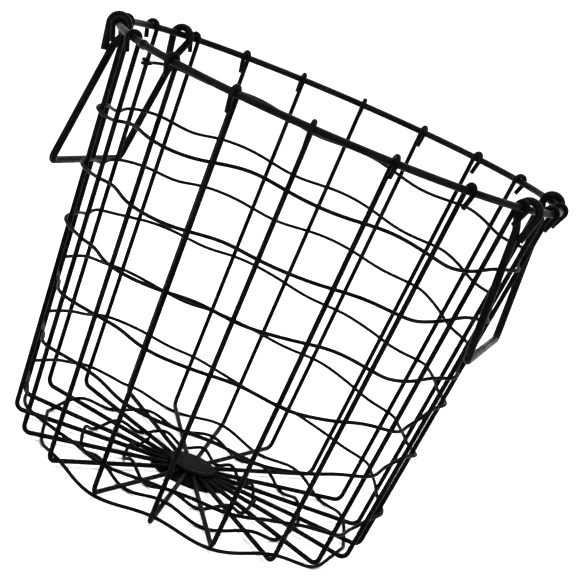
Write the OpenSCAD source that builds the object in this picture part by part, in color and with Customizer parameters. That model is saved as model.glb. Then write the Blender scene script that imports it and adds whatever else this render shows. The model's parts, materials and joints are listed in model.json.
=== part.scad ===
// Woven wire egg collection basket: hooked ribs on a rim ring, a hub of two plates, one weft
// wound from the rim to the hub, and two drop handles that hang on the rim.
// Millimetres. Z is up, z = 0 is the surface it stands on, and the handles are on +X and -X.

/* [Basket] */
// Radius of the rim ring, to the middle of its wire
rim_radius = 150.3; // [120:0.1:180]
// Height of the rim's wire above the spokes of the base
basket_height = 255; // [200:1:300]
// Radius of the base, to the corner that a rib's wall and spoke would meet in
base_radius = 122.6; // [100:0.1:135]
// Bend radius of a rib at the base corner
corner_radius = 5.5; // [5:0.5:9]

/* [Wire] */
// Diameter of the rim's wire
rim_wire = 4.6; // [3.6:0.1:5]
// Diameter of a rib's wire
rib_wire = 3.2; // [2.6:0.1:3.4]
// Diameter of the weft's wire
weft_wire = 2.4; // [2:0.1:2.6]
// Diameter of a handle's wire
handle_wire = 5; // [4.2:0.1:5.2]
// Gap left where two wires press on each other
touch_gap = 0.03; // [0.02:0.01:0.1]

/* [Rib hooks] */
// Inward slant of a hook's free end, from upright
stub_slant = 21; // [16:1:24]
// Straight length of a hook's free end
stub_length = 9.2; // [5:0.1:9.6]

/* [Hub] */
// Diameter of the plate under the rib ends
lower_plate = 56; // [46:1:60]
// Diameter of the plate on top of the rib ends
upper_plate = 34; // [28:1:44]
// Thickness of each plate
plate_thick = 2.4; // [2:0.1:2.6]
// Radius at which the rib ends stop
rib_end_radius = 11.5; // [10:0.5:13]

/* [Weft] */
// Height of the weft's first turn above the spokes
weft_top = 237; // [225:1:240]
// Drop of the weft from each rib to the next
weft_drop = 1.87; // [1.8:0.01:1.9]
// Vertical ripple of the weft between ribs, at the top
weft_ripple = 2.2; // [0:0.1:2.5]
// Outward bow of the weft's slack first bay, where the left handle leans on it
first_bow = 2.3; // [0:0.1:2.5]
// Rib count at which the weft floats over two ribs on one side
float_at = 60; // [40:2:80]

/* [Handles] */
// Distance between a handle's two hooks
hook_span = 112.6; // [104:0.2:118]
// Distance from the hooks' axis to the middle of the grip
handle_drop = 96; // [80:1:105]
// Radius of a hook, to the middle of its wire
hook_radius = 6.3; // [5.9:0.1:6.6]
// Straight tail of a hook, outside the rim
tail_length = 17; // [8:0.5:18]
// Inward curl of a hook's tail, from the leg's direction
tail_curl = 18; // [10:1:24]
// Outward slant of a leg's neck under the hook, from the leg's direction
neck_turn = 15; // [8:1:18]
// Straight length of the neck
neck_length = 10.5; // [8:0.5:12]
// Bend radius where the neck meets the leg
neck_bend = 8; // [6:0.5:12]
// Bend radius of a handle at the grip's two corners
grip_bend = 5; // [4:0.5:8]
// Distance of the hooks' axis below the middle of the rim's wire
hook_sag = 1.1; // [0:0.1:1.2]
// Outward lean of the left handle at rest
left_lean = 7.5; // [5:0.5:12]
// Outward lean of the right handle at rest
right_lean = 4; // [3:0.5:12]

/* [Hidden] */
rib_count = 20;
rib_step = 360 / rib_count;
first_rib_angle = rib_step / 2;
round_fn = 24;
ring_fn = 180;
// A bend's wire is this much thicker, and a straight runs this far into it, so the two join cleanly
bend_swell = 0.02;
joint_lap = 0.1;

spoke_z = plate_thick + touch_gap + rib_wire / 2;
rim_z = spoke_z + basket_height;
rib_hook_radius = (rim_wire + rib_wire) / 2 + touch_gap;

// Lean of a rib's wall from upright: its line touches the hook's circle on the inside
corner_to_rim = [rim_radius - base_radius, basket_height];
wall_lean = atan2(corner_to_rim[0], corner_to_rim[1]) - asin(rib_hook_radius / norm(corner_to_rim));
wall_up = [sin(wall_lean), cos(wall_lean)];
wall_out = [cos(wall_lean), -sin(wall_lean)];
rib_hook_centre = [rim_radius, rim_z];
wall_top = rib_hook_centre - rib_hook_radius * wall_out;

// Base corner: a fillet between the spoke and the wall
corner_turn = 90 - wall_lean;
corner_tangent = corner_radius * tan(corner_turn / 2);
corner_centre = [base_radius - corner_tangent, spoke_z + corner_radius];
wall_foot = corner_centre + corner_radius * wall_out;
spoke_end = corner_centre[0];
wall_start = spoke_end + corner_radius * corner_turn * PI / 180;

// Neck of a handle's leg, about the hooks' axis: it brings the leg nearly under the hook
neck_way = [sin(neck_turn), -cos(neck_turn)];
neck_root = -hook_radius * [cos(neck_turn), sin(neck_turn)];
neck_end = neck_root + neck_length * neck_way;
neck_centre = neck_end - neck_bend * [cos(neck_turn), sin(neck_turn)];
leg_top = neck_centre + [neck_bend, 0];

// The weft is woven round the ribs at this distance from their middle line
weave_offset = (rib_wire + weft_wire) / 2 + touch_gap;
weft_sides = 6;
weft_steps = 5;
// A hexagon of the same area as the round wire
weft_hexagon = weft_wire / 2 * sqrt(2 * PI / (3 * sqrt(3)));
turn_ribs = rib_count;
wall_ribs = 120;
weft_ribs = 180;
corner_ribs = 5;
base_first_radius = 115;
base_first_rib = 129.5;
base_drop = 1.65;
base_off_centre = 18;
// Places where the hand-wound weft rides high or low: rib count, lift, and ribs that it spreads over
// Angle by which each hand-placed rib stands off its even place, from rib 1 to rib 20
rib_strays = [
    -1.1, -1.5, -1.3, -1.3, -0.7, 0, 0.3, 0.1, 0, 0.6,
    0.7, -0.9, -1, -1, -0.3, 0, 0.8, 1.9, 1.5, 0.4
];

weft_lifts = [
    [0, -4, 1.5],
    [4.5, -10, 4],
    [9.5, 3, 1.5],
    [11, -5, 2],
    [14, 4, 2],
    [24, -3, 4],
    [32, -4, 2],
    [35.5, -3, 2],
    [46, 6, 3],
    [51, -8, 2],
    [56, -4, 3],
    [68, 6, 3],
    [70.5, -3, 1.5],
    [72, -4, 2],
    [78, -3, 2],
    [80, 4, 2],
    [82.5, -5, 3],
    [90, 3, 2.5],
    [92, -4, 2],
    [96, 4, 2],
    [98, -3, 2],
    [104, -4, 3],
    [110, -9, 3],
    [117, -5, 3],
    [137.5, -8, 2],
    [155, -7, 3.5],
    [174, 5, 1.5],
    [181, 9, 3]
];
wrap_turns = 1.25;
wrap_pitch = weft_wire + 0.3;
wrap_steps = 12;

rib_names = [for (i = [1 : rib_count]) str("rib_", i < 10 ? "0" : "", i)];
weft_names = [for (k = [1 : weft_ribs / turn_ribs]) str("weft_turn_", k)];

function unit(v) = v / norm(v);

// A point on a rib's middle line, at a distance along it from the basket's axis
function rib_point(s) =
    s < spoke_end ? [s, spoke_z] :
    s < wall_start ? corner_centre + corner_radius * rib_out(s) :
    wall_foot + (s - wall_start) * wall_up;

// The direction out of the basket, square to the rib at that distance
function rib_out(s) =
    let (turn = max(0, min(corner_turn, (s - spoke_end) / corner_radius * 180 / PI)))
    [sin(turn), -cos(turn)];

// The direction along the rib, away from the hub
function rib_along(s) = [-rib_out(s)[1], rib_out(s)[0]];

// The angle where a rib really stands, from the angle of its even place
function stray(even_angle) =
    let (
        place = even_angle / rib_step - 0.5,
        before = floor(place),
        share = place - before
    )
    even_angle + (1 - share) * rib_stray(before) + share * rib_stray(before + 1);

function rib_stray(number) = rib_strays[number - rib_count * floor(number / rib_count)];

function weft_angle(t) = stray(first_rib_angle + 9 * rib_step - rib_step * t);

function smooth(x) = let (y = max(0, min(1, x))) y * y * (3 - 2 * y);

// Weave count: it gains one rib at the float, where the weft stays outside
function weave_count(t) = t < float_at ? t : t < float_at + 1 ? float_at : t + 1;

// Slow wander of a hand-wound turn, growing down the wall
function wander(t) =
    let (a = weft_angle(t))
    t / wall_ribs * (8 * cos(2 * a) - 4 * sin(a) - 2.3 * cos(a)) - 3.5 * cos(2 * a);

// Height that the weft gains or loses at its hand-wound high and low places
function lift(t) =
    let (heights = [
        for (place = weft_lifts)
            let (share = (t - place[0]) / place[2])
            abs(share) < 1 ? place[1] * pow(cos(90 * share), 2) : 0
    ])
    heights * [for (place = weft_lifts) 1];

// The weft pulls straight from rib to rib, so it runs nearer the axis between them, except in its first bay
function chord_dip(t) =
    let (straight_share = 1 - smooth((t - wall_ribs) / corner_ribs))
    rim_radius * (1 - cos(rib_step / 2)) * pow(sin(180 * t), 2) * straight_share;

function pull_in(t) = t < 1 ? 1 + first_bow * pow(sin(180 * t), 2) / rim_radius : 1 - chord_dip(t) / rim_radius;

function ripple(t) = weft_ripple * (1 - t / 150) * cos(180 * (weave_count(t) - 0.45));

// Distance of the weft along the ribs, on the wall and on the base
function wall_distance(t) =
    wall_start + (weft_top - weft_drop * t + wander(t) + lift(t) + ripple(t) + spoke_z - wall_foot[1]) / wall_up[1];

function base_distance(t) =
    let (wound = base_first_radius - base_drop * (t - base_first_rib) - base_off_centre * sin(weft_angle(t)))
    min(spoke_end + 4, wound + lift(t));

function weft_distance(t) =
    let (share = smooth((t - wall_ribs) / corner_ribs))
    (1 - share) * wall_distance(min(t, wall_ribs + corner_ribs)) + share * base_distance(t);

function spin(p, angle) = [p[0] * cos(angle), p[0] * sin(angle), p[1]];

function squeeze(p, share) = [p[0] * share, p[1]];

// One station of the weft: its middle point and the direction along the rib there
function weft_station(t) =
    let (
        s = weft_distance(t),
        p = rib_point(s) + weave_offset * cos(180 * weave_count(t)) * rib_out(s)
    )
    [spin(squeeze(p, pull_in(t)), weft_angle(t)), spin(rib_along(s), weft_angle(t))];

// The weft's first end is wrapped round a rib
function wrap_station(turn) =
    let (
        s = weft_distance(0),
        out = rib_out(s),
        start = weft_angle(0),
        side = [sin(start), -cos(start), 0],
        middle = rib_point(s) + wrap_pitch * turn * rib_along(s)
    )
    [
        spin(middle, start) + weave_offset * (cos(360 * turn) * spin(out, start) - sin(360 * turn) * side),
        spin(rib_along(s), start)
    ];

function wrap_stations() =
    [for (i = [round(wrap_turns * wrap_steps) : -1 : 1]) wrap_station(i / wrap_steps)];

function weft_stations(first, last) =
    concat(
        first == 0 ? wrap_stations() : [weft_station(first - 1 / weft_steps)],
        [for (i = [first * weft_steps : last * weft_steps + 1]) weft_station(i / weft_steps)]
    );

// A closed tube with a hexagonal section, from the second of its stations to the last but one
module tube(stations) {
    last = len(stations) - 3;
    points = [
        for (i = [0 : last])
            let (
                ahead = stations[i + 2][0],
                behind = stations[i][0],
                across = unit(cross(ahead - behind, stations[i + 1][1])),
                along = unit(cross(across, ahead - behind))
            )
            for (k = [0 : weft_sides - 1])
                let (a = 360 * (k + 0.5) / weft_sides)
                stations[i + 1][0] + weft_hexagon * (cos(a) * across + sin(a) * along)
    ];
    sides = [
        for (i = [0 : last - 1])
            for (k = [0 : weft_sides - 1])
                let (
                    a = i * weft_sides + k,
                    b = i * weft_sides + (k + 1) % weft_sides
                )
                each [[a, a + weft_sides, b], [b, a + weft_sides, b + weft_sides]]
    ];
    start_cap = [for (k = [0 : weft_sides - 1]) k];
    end_cap = [for (k = [weft_sides - 1 : -1 : 0]) last * weft_sides + k];
    polyhedron(points, concat(sides, [start_cap, end_cap]));
}

// A bend in the XZ plane, from one polar angle to another about a centre
module bend(centre, radius, wire, from, to) {
    translate([centre[0], 0, centre[1]])
        rotate([90, 0, 0])
            rotate_extrude(start = from, angle = to - from, $fn = 72)
                translate([radius, 0])
                    circle(d = wire + bend_swell, $fn = round_fn);
}

// A straight wire in the XZ plane, from a point along a direction, and a little way back before it
module straight(from, direction, length, wire) {
    translate([from[0], 0, from[1]])
        rotate([0, atan2(direction[0], direction[1]), 0])
            translate([0, 0, -joint_lap])
                cylinder(d = wire, h = length + joint_lap, $fn = round_fn);
}

module rim_ring() {
    color("#17181a")
        translate([0, 0, rim_z])
            rotate_extrude($fn = ring_fn)
                translate([rim_radius, 0])
                    circle(d = rim_wire, $fn = round_fn);
}

module rib(number) {
    stub_root = rib_hook_centre + rib_hook_radius * [cos(stub_slant), -sin(stub_slant)];
    stub_way = [-sin(stub_slant), -cos(stub_slant)];
    color("#1b1c1e")
        rotate([0, 0, stray(first_rib_angle + rib_step * (number - 1))]) {
            straight([rib_end_radius + joint_lap, spoke_z], [1, 0], spoke_end - rib_end_radius, rib_wire);
            bend(corner_centre, corner_radius, rib_wire, -90, -wall_lean);
            straight(wall_foot, wall_up, norm(wall_top - wall_foot) + joint_lap, rib_wire);
            bend(rib_hook_centre, rib_hook_radius, rib_wire, -stub_slant, 180 - wall_lean);
            straight(stub_root, stub_way, stub_length, rib_wire);
        }
}

module hub_plate_lower() {
    color("#1f2022")
        cylinder(d = lower_plate, h = plate_thick, $fn = 96);
}

module hub_plate_upper() {
    color("#26282a")
        translate([0, 0, spoke_z + rib_wire / 2 + touch_gap])
            cylinder(d = upper_plate, h = plate_thick, $fn = 96);
}

module weft_turn(number) {
    color("#222325")
        tube(weft_stations((number - 1) * turn_ribs, number * turn_ribs));
}

// One leg of a handle with its neck and hook, in the XZ plane about the hooks' axis
module handle_leg() {
    leg_foot = [leg_top[0], grip_bend - handle_drop];
    tail_root = hook_radius * [cos(tail_curl), -sin(tail_curl)];
    straight(leg_foot, [0, 1], leg_top[1] - leg_foot[1] + joint_lap, handle_wire);
    bend(neck_centre, neck_bend, handle_wire, 0, neck_turn);
    straight(neck_root, neck_way, neck_length + joint_lap, handle_wire);
    bend([0, 0], hook_radius, handle_wire, -tail_curl, 180 + neck_turn);
    straight(tail_root, [-sin(tail_curl), -cos(tail_curl)], tail_length, handle_wire);
}

// The bend between the grip and the leg on +Y
module grip_corner() {
    translate([leg_top[0], hook_span / 2 - grip_bend, grip_bend - handle_drop])
        rotate([90, 0, 90])
            rotate_extrude(start = -90, angle = 90, $fn = 72)
                translate([grip_bend, 0])
                    circle(d = handle_wire + bend_swell, $fn = round_fn);
}

// A handle that hangs straight down from the hooks' axis, which lies along Y
module handle() {
    grip_length = hook_span - 2 * grip_bend + 2 * joint_lap;
    for (side = [-1, 1])
        translate([0, side * hook_span / 2, 0])
            handle_leg();
    grip_corner();
    mirror([0, 1, 0])
        grip_corner();
    translate([leg_top[0], -grip_length / 2, -handle_drop])
        rotate([-90, 0, 0])
            cylinder(d = handle_wire, h = grip_length, $fn = round_fn);
}

module placed_handle(lean) {
    translate([sqrt(rim_radius * rim_radius - hook_span * hook_span / 4), 0, rim_z - hook_sag])
        rotate([0, -lean, 0])
            handle();
}

module handle_right() {
    color("#141517")
        placed_handle(right_lean);
}

module handle_left() {
    color("#141517")
        mirror([1, 0, 0])
            placed_handle(left_lean);
}

rim_ring();
hub_plate_lower();
hub_plate_upper();
handle_left();
handle_right();
for (i = [1 : rib_count])
    rib(i);
for (k = [1 : len(weft_names)])
    weft_turn(k);
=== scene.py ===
"""The looks of a woven wire egg basket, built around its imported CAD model."""

import json
import math

import bpy
import numpy as np
from mathutils import Matrix, Vector


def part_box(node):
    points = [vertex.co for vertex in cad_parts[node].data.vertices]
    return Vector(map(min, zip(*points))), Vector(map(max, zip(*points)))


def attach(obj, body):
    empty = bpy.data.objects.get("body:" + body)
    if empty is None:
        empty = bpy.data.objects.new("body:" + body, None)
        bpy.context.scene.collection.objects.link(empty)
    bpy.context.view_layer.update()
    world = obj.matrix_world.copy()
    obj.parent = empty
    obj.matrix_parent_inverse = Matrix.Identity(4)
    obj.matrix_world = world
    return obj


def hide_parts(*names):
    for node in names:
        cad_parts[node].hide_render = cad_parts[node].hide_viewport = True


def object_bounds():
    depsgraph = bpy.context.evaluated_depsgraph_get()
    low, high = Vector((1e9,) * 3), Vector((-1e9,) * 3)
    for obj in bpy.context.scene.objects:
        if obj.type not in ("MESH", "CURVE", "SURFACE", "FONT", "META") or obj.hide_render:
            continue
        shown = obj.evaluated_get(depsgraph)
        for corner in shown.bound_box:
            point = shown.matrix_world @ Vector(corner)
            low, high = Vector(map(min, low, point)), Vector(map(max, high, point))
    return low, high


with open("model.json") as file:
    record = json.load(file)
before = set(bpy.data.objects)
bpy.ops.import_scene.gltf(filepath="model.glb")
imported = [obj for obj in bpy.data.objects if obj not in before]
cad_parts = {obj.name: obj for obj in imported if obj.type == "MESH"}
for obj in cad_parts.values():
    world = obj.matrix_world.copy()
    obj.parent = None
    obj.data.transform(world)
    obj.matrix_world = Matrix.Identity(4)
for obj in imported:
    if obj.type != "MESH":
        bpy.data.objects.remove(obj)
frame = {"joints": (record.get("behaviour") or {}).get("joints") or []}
cad_low, cad_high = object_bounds()

MM = 0.001

# ---- Sizes in millimetres and angles in degrees, as in the CAD, some of them read from its boxes ----

RIM_WIRE = 4.6
RIB_WIRE = 3.2
WEFT_WIRE = 2.4
HANDLE_WIRE = 5.0
TOUCH_GAP = 0.03


def corners(node):
    low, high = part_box(node)
    return np.array(low) / MM, np.array(high) / MM


rim_low, rim_high = corners("rim_ring")
lower_low, lower_high = corners("hub_plate_lower")
upper_low, upper_high = corners("hub_plate_upper")
RIM_RADIUS = rim_high[0] - RIM_WIRE / 2
RIM_Z = rim_low[2] + RIM_WIRE / 2
SPOKE_Z = lower_high[2] + TOUCH_GAP + RIB_WIRE / 2
JOINTS = {joint["name"]: joint for joint in frame["joints"]}

# ---- Ribs ----

RIB_COUNT = 20
RIB_STEP = 360 / RIB_COUNT
FIRST_RIB = RIB_STEP / 2
BASE_RADIUS = 122.6
CORNER_RADIUS = 5.5
RIB_END_RADIUS = 11.5
STUB_SLANT = 21.0
STUB_LENGTH = 9.2

# How much a rib's hook end differs from the CAD's: in slant, in length and in lean to the side
SLANT_SPREAD = 3.0
LENGTH_SPREAD = 1.6
LEAN_SPREAD = 2.0
# Angles that, times a rib's number, give that rib its share of each spread
SLANT_PHASE = 137
LENGTH_PHASE = 101
LEAN_PHASE = 73

# Angle by which each hand-placed rib stands off its even place, from rib 1 to rib 20
RIB_STRAYS = [
    -1.1, -1.5, -1.3, -1.3, -0.7, 0, 0.3, 0.1, 0, 0.6,
    0.7, -0.9, -1, -1, -0.3, 0, 0.8, 1.9, 1.5, 0.4,
]

# ---- Weft, with places along it counted in ribs passed from its first crossing ----

START_RIB = 9
WALL_RIBS = 120
CORNER_RIBS = 5
WEFT_RIBS = 180
FLOAT_AT = 60
FIRST_BOW = 2.3
WRAP_TURNS = 1.25
WRAP_GAP = 0.3
WRAP_PITCH = WEFT_WIRE + WRAP_GAP

# Height over the spokes on the wall, its drop from rib to rib, and its ripple between ribs
WEFT_TOP = 237.0
WEFT_DROP = 1.87
WEFT_RIPPLE = 2.2
RIPPLE_FADE = 150
RIPPLE_PHASE = 0.45

# Slow wander of the height round the basket, in three terms that grow from nothing at the top of the
# wall, and a steady one
WANDER_TWICE_ROUND = 8
WANDER_FRONT = 4
WANDER_SIDE = 2.3
WANDER_STEADY = 3.5

# Distance from the axis on the base
BASE_FIRST_RADIUS = 115.0
BASE_FIRST_RIB = 129.5
BASE_DROP = 1.65
BASE_OFF_CENTRE = 18.0
BASE_PAST_SPOKE = 4

# Places where the hand-wound weft rides high or low: rib count, lift, and ribs that it spreads over
WEFT_LIFTS = [
    (0, -4, 1.5),
    (4.5, -10, 4),
    (9.5, 3, 1.5),
    (11, -5, 2),
    (14, 4, 2),
    (24, -3, 4),
    (32, -4, 2),
    (35.5, -3, 2),
    (46, 6, 3),
    (51, -8, 2),
    (56, -4, 3),
    (68, 6, 3),
    (70.5, -3, 1.5),
    (72, -4, 2),
    (78, -3, 2),
    (80, 4, 2),
    (82.5, -5, 3),
    (90, 3, 2.5),
    (92, -4, 2),
    (96, 4, 2),
    (98, -3, 2),
    (104, -4, 3),
    (110, -9, 3),
    (117, -5, 3),
    (137.5, -8, 2),
    (155, -7, 3.5),
    (174, 5, 1.5),
    (181, 9, 3),
]

# ---- Rim's butt weld, which the CAD leaves out ----

WELD_ANGLE = 230.0
WELD_SWELL = 0.8
WELD_LENGTH = 1.9
WELD_SQUARENESS = 4

# ---- Handles ----

HOOK_SPAN = 112.6
HANDLE_DROP = 96.0
HOOK_RADIUS = 6.3
TAIL_LENGTH = 17.0
TAIL_CURL = 18.0
NECK_TURN = 15.0
NECK_LENGTH = 10.5
NECK_BEND = 8.0
GRIP_BEND = 5.0
LEANS = {"left": 7.5, "right": 4.0}

# ---- Hub's weld dents, which the CAD leaves out ----

LOWER_DENT_RADIUS = 22.5
UPPER_DENT_RADIUS = 13.0
DENT_DEPTH = 0.35
DENT_WIDTH = 1.3

# ---- Mesh detail: points round a wire, and steps along it in millimetres or degrees ----

RIM_SIDES = 20
RIB_SIDES = 16
WEFT_SIDES = 14
HANDLE_SIDES = 22
CUT_CHAMFER = 0.18

ARC_STEP = 6.0
FINE_ARC_STEP = 3.0
COARSE_ARC_STEP = 9.0
SPOKE_SPACING = 4.0
WALL_SPACING = 5.0
STUB_SPACING = 2.0
TAIL_SPACING = 3.0
NECK_SPACING = 2.5
HANDLE_SPACING = 4.0

RIM_SEGMENTS = 720
WRAP_STEPS = 24
STEPS_PER_RIB = 14
PLATE_SEGMENTS = 160
PLATE_TOP_RINGS = 22
PLATE_UNDER_RINGS = 8
PLATE_EDGE_STEP = 18.0
PLATE_CAP_RADIUS = 0.6


def sin(angle):
    return math.sin(math.radians(angle))


def cos(angle):
    return math.cos(math.radians(angle))


def smooth(x):
    x = min(1.0, max(0.0, x))
    return x * x * (3 - 2 * x)


# ======== Wires ========


def arc(centre, radius, start, end, step=ARC_STEP):
    """Points of an arc in a plane, without its first point."""
    count = max(2, int(math.ceil(abs(end - start) / step)))
    angles = [start + (end - start) * i / count for i in range(1, count + 1)]
    return [(centre[0] + radius * cos(a), centre[1] + radius * sin(a)) for a in angles]


def line(start, end, spacing):
    """Points of a straight, without its first point."""
    start, end = np.array(start, float), np.array(end, float)
    count = max(1, int(round(np.linalg.norm(end - start) / spacing)))
    return [tuple(start + (end - start) * i / count) for i in range(1, count + 1)]


def wire_rings(path, radius):
    """Ring centres and radii along an open wire, with a small chamfer at each cut end."""
    path = np.asarray(path, float)
    first = (path[1] - path[0]) / np.linalg.norm(path[1] - path[0])
    last = (path[-1] - path[-2]) / np.linalg.norm(path[-1] - path[-2])
    start = [path[:1], path[:1] + first * CUT_CHAMFER]
    end = [path[-1:] - last * CUT_CHAMFER, path[-1:]]
    centres = np.vstack([*start, path[1:-1], *end])
    radii = np.full(len(centres), radius)
    radii[0] = radii[-1] = radius - CUT_CHAMFER
    return centres, radii


def transported_frames(centres):
    """Two directions across the wire at each ring, carried along it without twist."""
    ahead = np.vstack([centres[1:], centres[-1:]])
    behind = np.vstack([centres[:1], centres[:-1]])
    tangents = ahead - behind
    tangents /= np.linalg.norm(tangents, axis=1)[:, None]
    off_every_wire = np.array([0.31, 0.17, 0.93])
    across = np.cross(tangents[0], off_every_wire)
    across /= np.linalg.norm(across)
    sides = [across]
    for tangent in tangents[1:]:
        across = across - tangent * np.dot(across, tangent)
        across /= np.linalg.norm(across)
        sides.append(across)
    sides = np.array(sides)
    return sides, np.cross(tangents, sides)


def ring_faces(ring_count, side_count):
    """Quads between each ring of points and the next one."""
    faces = []
    for i in range(ring_count - 1):
        for k in range(side_count):
            a = i * side_count + k
            b = i * side_count + (k + 1) % side_count
            faces.append((a, b, b + side_count, a + side_count))
    return faces


def wire(name, path, diameter, side_count, body, slot, nodes):
    """A round wire along a path in millimetres, with cut ends."""
    centres, radii = wire_rings(path, diameter / 2)
    sides, others = transported_frames(centres)
    turns = np.arange(side_count) * 2 * math.pi / side_count
    rings = (
        centres[:, None, :]
        + radii[:, None, None] * np.cos(turns)[None, :, None] * sides[:, None, :]
        + radii[:, None, None] * np.sin(turns)[None, :, None] * others[:, None, :]
    )
    faces = ring_faces(len(centres), side_count)
    last = (len(centres) - 1) * side_count
    faces.append(tuple(range(side_count - 1, -1, -1)))
    faces.append(tuple(range(last, last + side_count)))
    piece(name, smooth_mesh(name, rings.reshape(-1, 3), faces, flat_count=2), body, slot, nodes)


def smooth_mesh(name, points, faces, flat_count=0):
    """A smooth-shaded mesh from points in millimetres, with its last few faces left flat."""
    mesh = bpy.data.meshes.new(name)
    mesh.from_pydata((np.asarray(points, float) * MM).tolist(), [], faces)
    mesh.polygons.foreach_set("use_smooth", [True] * (len(faces) - flat_count) + [False] * flat_count)
    mesh.update()
    return mesh


def piece(name, mesh, body, slot, nodes):
    """Puts a mesh in the scene, riding on a CAD body in place of the named CAD nodes."""
    thing = bpy.data.objects.new(name, mesh)
    bpy.context.scene.collection.objects.link(thing)
    thing.data.materials.append(MATERIALS[slot])
    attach(thing, body)
    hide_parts(*nodes)


# ======== Materials ========

# Noise scales per metre, and the noise values between which each ramp runs
MOTTLE_SCALE = 55.0
MOTTLE_EDGES = (0.36, 0.66)
SPECK_SCALE = 420.0
SPECK_EDGES = (0.715, 0.76)
GLOSS_SCALE = 130.0
GLOSS_EDGES = (0.3, 0.7)

WORN_COLOUR = (0.02, 0.019, 0.018)
PEEL_STRENGTH = 0.35
PEEL_METRES = 0.00012
BLUE_SHARE = 1.06


def node(tree, kind, **inputs):
    made = tree.nodes.new(kind)
    for key, value in inputs.items():
        made.inputs[key.replace("_", " ")].default_value = value
    return made


def noise(tree, coordinates, scale, detail):
    made = node(tree, "ShaderNodeTexNoise", Scale=scale, Detail=detail)
    tree.links.new(coordinates.outputs["Object"], made.inputs["Vector"])
    return made.outputs["Fac"]


def ramp(tree, factor, edges, colours):
    """A ramp from one colour to another between two values of its factor."""
    made = tree.nodes.new("ShaderNodeValToRGB")
    for element, edge, colour in zip(made.color_ramp.elements, edges, colours):
        element.position = edge
        element.color = (*colour, 1.0)
    tree.links.new(factor, made.inputs["Fac"])
    return made.outputs["Color"]


def plain_grey(value):
    return (value, value, value)


def cool_grey(value):
    return (value, value, value * BLUE_SHARE)


def black_coat(name, colours, roughness, grain, shine):
    """Satin black coat on wire: mottled colour, uneven gloss, orange peel and a few thin worn specks."""
    material = bpy.data.materials.new(name)
    material.use_nodes = True
    tree = material.node_tree
    shader = tree.nodes["Principled BSDF"]
    coordinates = tree.nodes.new("ShaderNodeTexCoord")

    mottle = noise(tree, coordinates, MOTTLE_SCALE, detail=4.0)
    coat = ramp(tree, mottle, MOTTLE_EDGES, [cool_grey(value) for value in colours])
    specks = noise(tree, coordinates, SPECK_SCALE, detail=2.0)
    worn = ramp(tree, specks, SPECK_EDGES, [plain_grey(0.0), plain_grey(1.0)])
    mix = tree.nodes.new("ShaderNodeMix")
    mix.data_type = "RGBA"
    mix.inputs["B"].default_value = (*WORN_COLOUR, 1.0)
    tree.links.new(worn, mix.inputs["Factor"])
    tree.links.new(coat, mix.inputs["A"])
    tree.links.new(mix.outputs["Result"], shader.inputs["Base Color"])

    gloss = noise(tree, coordinates, GLOSS_SCALE, detail=3.0)
    rough = ramp(tree, gloss, GLOSS_EDGES, [plain_grey(value) for value in roughness])
    tree.links.new(rough, shader.inputs["Roughness"])

    peel = noise(tree, coordinates, grain, detail=4.0)
    bump = node(tree, "ShaderNodeBump", Strength=PEEL_STRENGTH, Distance=PEEL_METRES)
    tree.links.new(peel, bump.inputs["Height"])
    tree.links.new(bump.outputs["Normal"], shader.inputs["Normal"])

    shader.inputs["Specular IOR Level"].default_value = shine
    return material


WIRE_BLACKS = (0.0006, 0.0025)
PLATE_BLACKS = (0.0008, 0.003)

# For each slot: darkest and lightest colour, least and most roughness, scale of the orange peel, shine
MATERIALS = {
    "rim_wire": black_coat("rim_coat", WIRE_BLACKS, (0.3, 0.44), 1300.0, 0.02),
    "rib_wire": black_coat("rib_coat", WIRE_BLACKS, (0.32, 0.5), 1500.0, 0.01),
    "weft_wire": black_coat("weft_coat", WIRE_BLACKS, (0.34, 0.5), 1700.0, 0.01),
    "hub_plate": black_coat("plate_coat", PLATE_BLACKS, (0.42, 0.6), 900.0, 0.006),
    "handle_wire": black_coat("handle_coat", WIRE_BLACKS, (0.26, 0.42), 1200.0, 0.016),
}


# ======== Rim ========


def build_rim():
    """A closed ring with the swollen collar of its butt weld."""
    points = []
    for i in range(RIM_SEGMENTS):
        angle = 360 * i / RIM_SEGMENTS
        along = math.radians((angle - WELD_ANGLE + 180) % 360 - 180) * RIM_RADIUS
        collar = WELD_SWELL * math.exp(-((along / WELD_LENGTH) ** WELD_SQUARENESS))
        radius = RIM_WIRE / 2 + collar
        for k in range(RIM_SIDES):
            turn = 360 * k / RIM_SIDES
            reach = RIM_RADIUS + radius * cos(turn)
            points.append((reach * cos(angle), reach * sin(angle), RIM_Z + radius * sin(turn)))
    faces = []
    for i in range(RIM_SEGMENTS):
        for k in range(RIM_SIDES):
            here = i * RIM_SIDES
            ahead = (i + 1) % RIM_SEGMENTS * RIM_SIDES
            beside = (k + 1) % RIM_SIDES
            faces.append((here + k, ahead + k, ahead + beside, here + beside))
    mesh = smooth_mesh("rim_wire_ring", points, faces)
    piece("rim_wire_ring", mesh, "basket", "rim_wire", ["rim_ring"])


# ======== Ribs ========


def stray(even_angle):
    """The angle where a hand-placed rib really stands, and between ribs a share of both neighbours'."""
    place = even_angle / RIB_STEP - 0.5
    before = math.floor(place)
    share = place - before
    first = RIB_STRAYS[before % RIB_COUNT]
    second = RIB_STRAYS[(before + 1) % RIB_COUNT]
    return even_angle + (1 - share) * first + share * second


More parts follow.
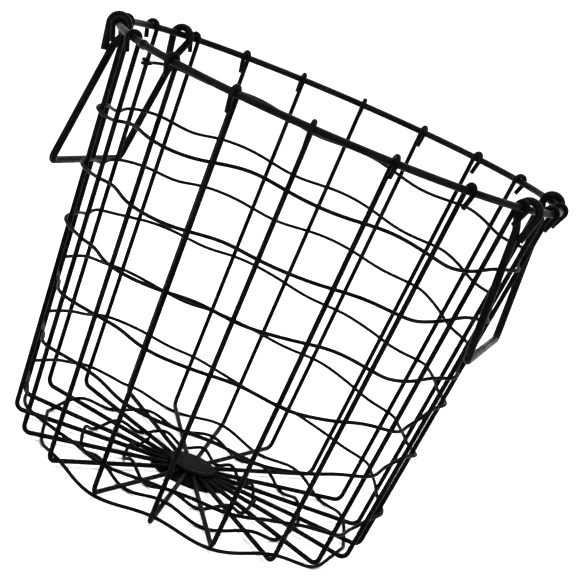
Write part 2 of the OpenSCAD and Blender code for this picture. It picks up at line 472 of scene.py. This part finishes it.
# A rib's middle line, in radius and height: hook round the rim, wall, base corner, spoke
RIB_HOOK_RADIUS = (RIM_WIRE + RIB_WIRE) / 2 + TOUCH_GAP
across_wall = RIM_RADIUS - BASE_RADIUS
up_wall = RIM_Z - SPOKE_Z
WALL_LEAN = math.degrees(
    math.atan2(across_wall, up_wall) - math.asin(RIB_HOOK_RADIUS / math.hypot(across_wall, up_wall))
)
WALL_UP = np.array([sin(WALL_LEAN), cos(WALL_LEAN)])
WALL_OUT = np.array([cos(WALL_LEAN), -sin(WALL_LEAN)])
WALL_TOP = np.array([RIM_RADIUS, RIM_Z]) - RIB_HOOK_RADIUS * WALL_OUT
CORNER_TURN = 90 - WALL_LEAN
SPOKE_END = BASE_RADIUS - CORNER_RADIUS * math.tan(math.radians(CORNER_TURN / 2))
CORNER_CENTRE = np.array([SPOKE_END, SPOKE_Z + CORNER_RADIUS])
WALL_FOOT = CORNER_CENTRE + CORNER_RADIUS * WALL_OUT
WALL_START = SPOKE_END + math.radians(CORNER_TURN) * CORNER_RADIUS


def rib_outline(stub_slant, stub_length):
    """A rib's middle line in its own upright plane, from the hub to the end of its hook."""
    points = [(RIB_END_RADIUS, SPOKE_Z)]
    points += line(points[-1], (SPOKE_END, SPOKE_Z), SPOKE_SPACING)
    points += arc(CORNER_CENTRE, CORNER_RADIUS, -90, -WALL_LEAN)
    points += line(points[-1], WALL_TOP, WALL_SPACING)
    points += arc((RIM_RADIUS, RIM_Z), RIB_HOOK_RADIUS, 180 - WALL_LEAN, -stub_slant, COARSE_ARC_STEP)
    end = np.array(points[-1]) - stub_length * np.array([sin(stub_slant), cos(stub_slant)])
    points += line(points[-1], end, STUB_SPACING)
    return points


def build_ribs():
    """The ribs, each cut and bent a little differently at its hook, as by hand."""
    for number in range(1, RIB_COUNT + 1):
        angle = stray(FIRST_RIB + RIB_STEP * (number - 1))
        slant = STUB_SLANT + SLANT_SPREAD * sin(SLANT_PHASE * number)
        length = STUB_LENGTH + LENGTH_SPREAD * sin(LENGTH_PHASE * number)
        side_lean = LEAN_SPREAD * sin(LEAN_PHASE * number)
        path = []
        for r, z in rib_outline(slant, length):
            on_stub = r > RIM_RADIUS - RIB_WIRE and z < RIM_Z
            sideways = (RIM_Z - z) * math.tan(math.radians(side_lean)) if on_stub else 0.0
            x = r * cos(angle) - sideways * sin(angle)
            y = r * sin(angle) + sideways * cos(angle)
            path.append((x, y, z))
        rib = f"rib_{number:02d}"
        wire(f"rib_wire_{number:02d}", path, RIB_WIRE, RIB_SIDES, "basket", "rib_wire", [rib])


# ======== Weft ========

# Distance between the middle lines of the weft and of the rib that it crosses
WEAVE_OFFSET = (RIB_WIRE + WEFT_WIRE) / 2 + TOUCH_GAP


def rib_out(s):
    """The direction out of the basket, square to a rib, at a distance along that rib."""
    turn = max(0.0, min(CORNER_TURN, math.degrees((s - SPOKE_END) / CORNER_RADIUS)))
    return np.array([sin(turn), -cos(turn)])


def rib_along(s):
    out = rib_out(s)
    return np.array([-out[1], out[0]])


def rib_point(s):
    """A point on a rib's middle line, at a distance along it from the basket's axis."""
    if s < SPOKE_END:
        return np.array([s, SPOKE_Z])
    if s < WALL_START:
        return CORNER_CENTRE + CORNER_RADIUS * rib_out(s)
    return WALL_FOOT + (s - WALL_START) * WALL_UP


def weft_angle(t):
    """Angle round the basket at a place along the weft."""
    return stray(FIRST_RIB + START_RIB * RIB_STEP - RIB_STEP * t)


def weave_count(t):
    """Ribs passed, with one more gained at the float, where the weft stays outside."""
    if t < FLOAT_AT:
        return t
    return FLOAT_AT if t < FLOAT_AT + 1 else t + 1


def pull_in(t):
    """The weft runs nearly straight from rib to rib, and bows out in its slack first bay."""
    between = sin(180 * t) ** 2
    if t < 1:
        return 1 + FIRST_BOW * between / RIM_RADIUS
    straight_share = 1 - smooth((t - WALL_RIBS) / CORNER_RIBS)
    return 1 - (1 - cos(RIB_STEP / 2)) * between * straight_share


def wander(t):
    """Height that the weft gains or loses slowly, on its way round and down the wall."""
    a = weft_angle(t)
    grown = t / WALL_RIBS
    growing = WANDER_TWICE_ROUND * cos(2 * a) - WANDER_FRONT * sin(a) - WANDER_SIDE * cos(a)
    return grown * growing - WANDER_STEADY * cos(2 * a)


def lift(t):
    """Height that the weft gains or loses at its hand-wound high and low places."""
    height = 0.0
    for place, rise, spread in WEFT_LIFTS:
        share = (t - place) / spread
        if abs(share) < 1:
            height += rise * cos(90 * share) ** 2
    return height


def ripple(t):
    """Height that the weft gains or loses between one rib and the next."""
    return WEFT_RIPPLE * (1 - t / RIPPLE_FADE) * cos(180 * (weave_count(t) - RIPPLE_PHASE))


def wall_distance(t):
    """Distance along a rib at which the weft crosses it on the wall."""
    height = WEFT_TOP - WEFT_DROP * t + wander(t) + lift(t) + ripple(t) + SPOKE_Z
    return WALL_START + (height - WALL_FOOT[1]) / WALL_UP[1]


def base_distance(t):
    """Distance along a rib at which the weft crosses it on the base."""
    wound = BASE_FIRST_RADIUS - BASE_DROP * (t - BASE_FIRST_RIB) - BASE_OFF_CENTRE * sin(weft_angle(t))
    return min(SPOKE_END + BASE_PAST_SPOKE, wound + lift(t))


def weft_distance(t):
    """Distance along a rib at which the weft crosses it, on the wall or on the base."""
    share = smooth((t - WALL_RIBS) / CORNER_RIBS)
    return (1 - share) * wall_distance(min(t, WALL_RIBS + CORNER_RIBS)) + share * base_distance(t)


def spin(point, angle):
    """A point in radius and height, turned round the basket's axis."""
    return np.array([point[0] * cos(angle), point[0] * sin(angle), point[1]])


def weft_point(t):
    """A point on the weft's middle line, which passes from one side of the ribs to the other."""
    s = weft_distance(t)
    flat = rib_point(s) + WEAVE_OFFSET * cos(180 * weave_count(t)) * rib_out(s)
    flat[0] *= pull_in(t)
    return spin(flat, weft_angle(t))


def wrap_point(turn):
    """The weft's first end, wrapped round a rib and rising away from the first crossing."""
    s = weft_distance(0)
    start = weft_angle(0)
    side = np.array([sin(start), -cos(start), 0])
    middle = rib_point(s) + WRAP_PITCH * turn * rib_along(s)
    round_rib = cos(360 * turn) * spin(rib_out(s), start) - sin(360 * turn) * side
    return spin(middle, start) + WEAVE_OFFSET * round_rib


def build_weft():
    """One wire from its wrapped first end to the hub, in place of the CAD's one-turn lengths."""
    path = [wrap_point(i / WRAP_STEPS) for i in range(round(WRAP_TURNS * WRAP_STEPS), 0, -1)]
    path += [weft_point(i / STEPS_PER_RIB) for i in range(WEFT_RIBS * STEPS_PER_RIB + 1)]
    turns = [f"weft_turn_{k}" for k in range(1, WEFT_RIBS // RIB_COUNT + 1)]
    wire("weft_wire_whole", path, WEFT_WIRE, WEFT_SIDES, "basket", "weft_wire", turns)


# ======== Handles ========


def handle_end():
    """Half a handle from its tail's cut end to the grip's corner, in the plane of one hook."""
    root = HOOK_RADIUS * np.array([cos(TAIL_CURL), -sin(TAIL_CURL)])
    points = [tuple(root - TAIL_LENGTH * np.array([sin(TAIL_CURL), cos(TAIL_CURL)]))]
    points += line(points[-1], root, TAIL_SPACING)
    points += arc((0, 0), HOOK_RADIUS, -TAIL_CURL, 180 + NECK_TURN)
    neck_end = np.array(points[-1]) + NECK_LENGTH * np.array([sin(NECK_TURN), -cos(NECK_TURN)])
    points += line(points[-1], neck_end, NECK_SPACING)
    centre = neck_end - NECK_BEND * np.array([cos(NECK_TURN), sin(NECK_TURN)])
    points += arc(centre, NECK_BEND, NECK_TURN, 0, FINE_ARC_STEP)
    points += line(points[-1], (points[-1][0], GRIP_BEND - HANDLE_DROP), HANDLE_SPACING)
    return points


def handle_path():
    """A whole handle hanging straight down: x outward from the hooks' axis, y along it."""
    half = HOOK_SPAN / 2
    end = handle_end()
    leg_x = end[-1][0]
    path = [(x, -half, z) for x, z in end]
    corner = arc((GRIP_BEND - half, GRIP_BEND - HANDLE_DROP), GRIP_BEND, 180, 270, COARSE_ARC_STEP)
    grip = line(corner[-1], (half - GRIP_BEND, -HANDLE_DROP), HANDLE_SPACING)
    path += [(leg_x, y, z) for y, z in corner + grip]
    corner = arc((half - GRIP_BEND, GRIP_BEND - HANDLE_DROP), GRIP_BEND, 270, 360, COARSE_ARC_STEP)
    path += [(leg_x, y, z) for y, z in corner]
    path += [(x, half, z) for x, z in end[-2::-1]]
    return path


def build_handle(side, outward):
    """A handle on its joint's line, leaning out as it hangs in the photo."""
    pivot = np.array(JOINTS[f"{side}_handle_swing"]["pos_m"]) / MM
    lean = LEANS[side]
    path = []
    for x, y, z in handle_path():
        out = x * cos(lean) - z * sin(lean)
        up = x * sin(lean) + z * cos(lean)
        path.append((pivot[0] + outward * out, y, pivot[2] + up))
    name = f"handle_wire_{side}"
    wire(name, path, HANDLE_WIRE, HANDLE_SIDES, f"{side}_handle", "handle_wire", [f"handle_{side}"])


# ======== Hub ========


def build_plate(name, cad_node, low, high, dent_radius):
    """A pressed disc with a rounded edge and a weld dent over each rib."""
    edge = (high[2] - low[2]) / 2
    flat_radius = high[0] - edge
    profile = [(r, high[2]) for r in np.linspace(PLATE_CAP_RADIUS, flat_radius, PLATE_TOP_RINGS)]
    profile += arc((flat_radius, high[2] - edge), edge, 90, -90, PLATE_EDGE_STEP)
    profile += [(r, low[2]) for r in np.linspace(flat_radius, PLATE_CAP_RADIUS, PLATE_UNDER_RINGS)[1:]]
    points = []
    for r, z in profile:
        for k in range(PLATE_SEGMENTS):
            angle = 360 * k / PLATE_SEGMENTS
            depth = dent(r, angle, dent_radius) if z == high[2] else 0.0
            points.append((r * cos(angle), r * sin(angle), z - depth))
    faces = [face[::-1] for face in ring_faces(len(profile), PLATE_SEGMENTS)]
    last = (len(profile) - 1) * PLATE_SEGMENTS
    faces.append(tuple(range(PLATE_SEGMENTS)))
    faces.append(tuple(range(last + PLATE_SEGMENTS - 1, last - 1, -1)))
    piece(name, smooth_mesh(name, points, faces, flat_count=2), "basket", "hub_plate", [cad_node])


def dent(r, angle, dent_radius):
    """Depth of the weld dents, one on each rib's line at one radius."""
    even_angle = FIRST_RIB + RIB_STEP * round((angle - FIRST_RIB) / RIB_STEP)
    off = angle - stray(even_angle)
    distance = math.hypot(r - dent_radius, math.radians(off) * r)
    return DENT_DEPTH * math.exp(-((distance / DENT_WIDTH) ** 2))


# ======== Stage, in metres ========

FLOOR_RINGS = (0.001, 0.6, 1.4, 2.2)
FLOOR_RADIUS = FLOOR_RINGS[-1]
COVE_RADIUS = 1.4
STUDIO_HEIGHT = 3.2
STUDIO_SEGMENTS = 96
PAPER_COLOUR = (0.94, 0.94, 0.94, 1.0)
PAPER_ROUGHNESS = 0.95
PAPER_SHINE = 0.1
AIR_COLOUR = (1.0, 1.0, 1.0, 1.0)
AIR_STRENGTH = 1.0


def build_stage():
    """A pale studio floor that curves up into a wall all round."""
    profile = [(r, 0.0) for r in FLOOR_RINGS]
    profile += arc((FLOOR_RADIUS, COVE_RADIUS), COVE_RADIUS, -90, 0, COARSE_ARC_STEP)
    profile += [(FLOOR_RADIUS + COVE_RADIUS, STUDIO_HEIGHT)]
    turns = [360 * k / STUDIO_SEGMENTS for k in range(STUDIO_SEGMENTS)]
    points = [(r * cos(turn), r * sin(turn), z) for r, z in profile for turn in turns]
    faces = ring_faces(len(profile), STUDIO_SEGMENTS)
    faces.append(tuple(range(STUDIO_SEGMENTS)))
    mesh = bpy.data.meshes.new("studio")
    mesh.from_pydata(points, [], faces)
    mesh.polygons.foreach_set("use_smooth", [True] * len(faces))
    studio = bpy.data.objects.new("studio", mesh)
    studio.location.z = cad_low.z
    bpy.context.scene.collection.objects.link(studio)
    paper = bpy.data.materials.new("studio_paper")
    paper.use_nodes = True
    shader = paper.node_tree.nodes["Principled BSDF"]
    shader.inputs["Base Color"].default_value = PAPER_COLOUR
    shader.inputs["Roughness"].default_value = PAPER_ROUGHNESS
    shader.inputs["Specular IOR Level"].default_value = PAPER_SHINE
    studio.data.materials.append(paper)


def area_light(name, place, size, power):
    """A round soft light that shines at the middle of the basket."""
    light = bpy.data.lights.new(name, "AREA")
    light.shape = "DISK"
    light.size = size
    light.energy = power
    lamp = bpy.data.objects.new(name, light)
    lamp.location = place
    aim = Vector((0, 0, RIM_Z * MM / 2)) - Vector(place)
    lamp.rotation_euler = aim.to_track_quat("-Z", "Y").to_euler()
    bpy.context.scene.collection.objects.link(lamp)


def build_lights():
    area_light("overhead", place=(0.0, 0.0, 2.6), size=2.4, power=95.0)
    area_light("left_soft", place=(-1.5, -1.3, 1.7), size=0.8, power=26.0)
    area_light("right_soft", place=(1.7, -0.6, 1.3), size=0.6, power=14.0)
    world = bpy.data.worlds.new("studio_air")
    world.use_nodes = True
    background = world.node_tree.nodes["Background"]
    background.inputs["Color"].default_value = AIR_COLOUR
    background.inputs["Strength"].default_value = AIR_STRENGTH
    bpy.context.scene.world = world
    bpy.context.scene.view_settings.view_transform = "Standard"


# ======== Camera, fitted to the photo: degrees, and millimetres except for the lens ========

CAMERA_AZIMUTH = -76.496
CAMERA_DISTANCE = 996.6
CAMERA_HEIGHT = 344.6
VIEW_HEADING = 102.79
VIEW_PITCH = -11.46
VIEW_ROLL = 23.34
LENS = 97.86
SENSOR_WIDTH = 36.0


def build_camera():
    data = bpy.data.cameras.new("camera")
    data.lens = LENS
    data.sensor_width = SENSOR_WIDTH
    data.dof.use_dof = False
    camera = bpy.data.objects.new("camera", data)
    across = (CAMERA_DISTANCE * cos(CAMERA_AZIMUTH), CAMERA_DISTANCE * sin(CAMERA_AZIMUTH))
    camera.location = Vector((*across, CAMERA_HEIGHT)) * MM
    level_share = cos(VIEW_PITCH)
    forward = Vector((
        cos(VIEW_HEADING) * level_share,
        sin(VIEW_HEADING) * level_share,
        sin(VIEW_PITCH),
    ))
    level = forward.to_track_quat("-Z", "Y").to_matrix()
    rolled = level @ Matrix.Rotation(math.radians(VIEW_ROLL), 3, "Z")
    camera.rotation_euler = rolled.to_euler()
    bpy.context.scene.collection.objects.link(camera)
    bpy.context.scene.camera = camera


build_rim()
build_ribs()
build_weft()
build_handle("left", outward=-1)
build_handle("right", outward=1)
build_plate("hub_disc_lower", "hub_plate_lower", lower_low, lower_high, LOWER_DENT_RADIUS)
build_plate("hub_disc_upper", "hub_plate_upper", upper_low, upper_high, UPPER_DENT_RADIUS)
build_stage()
build_lights()
build_camera()
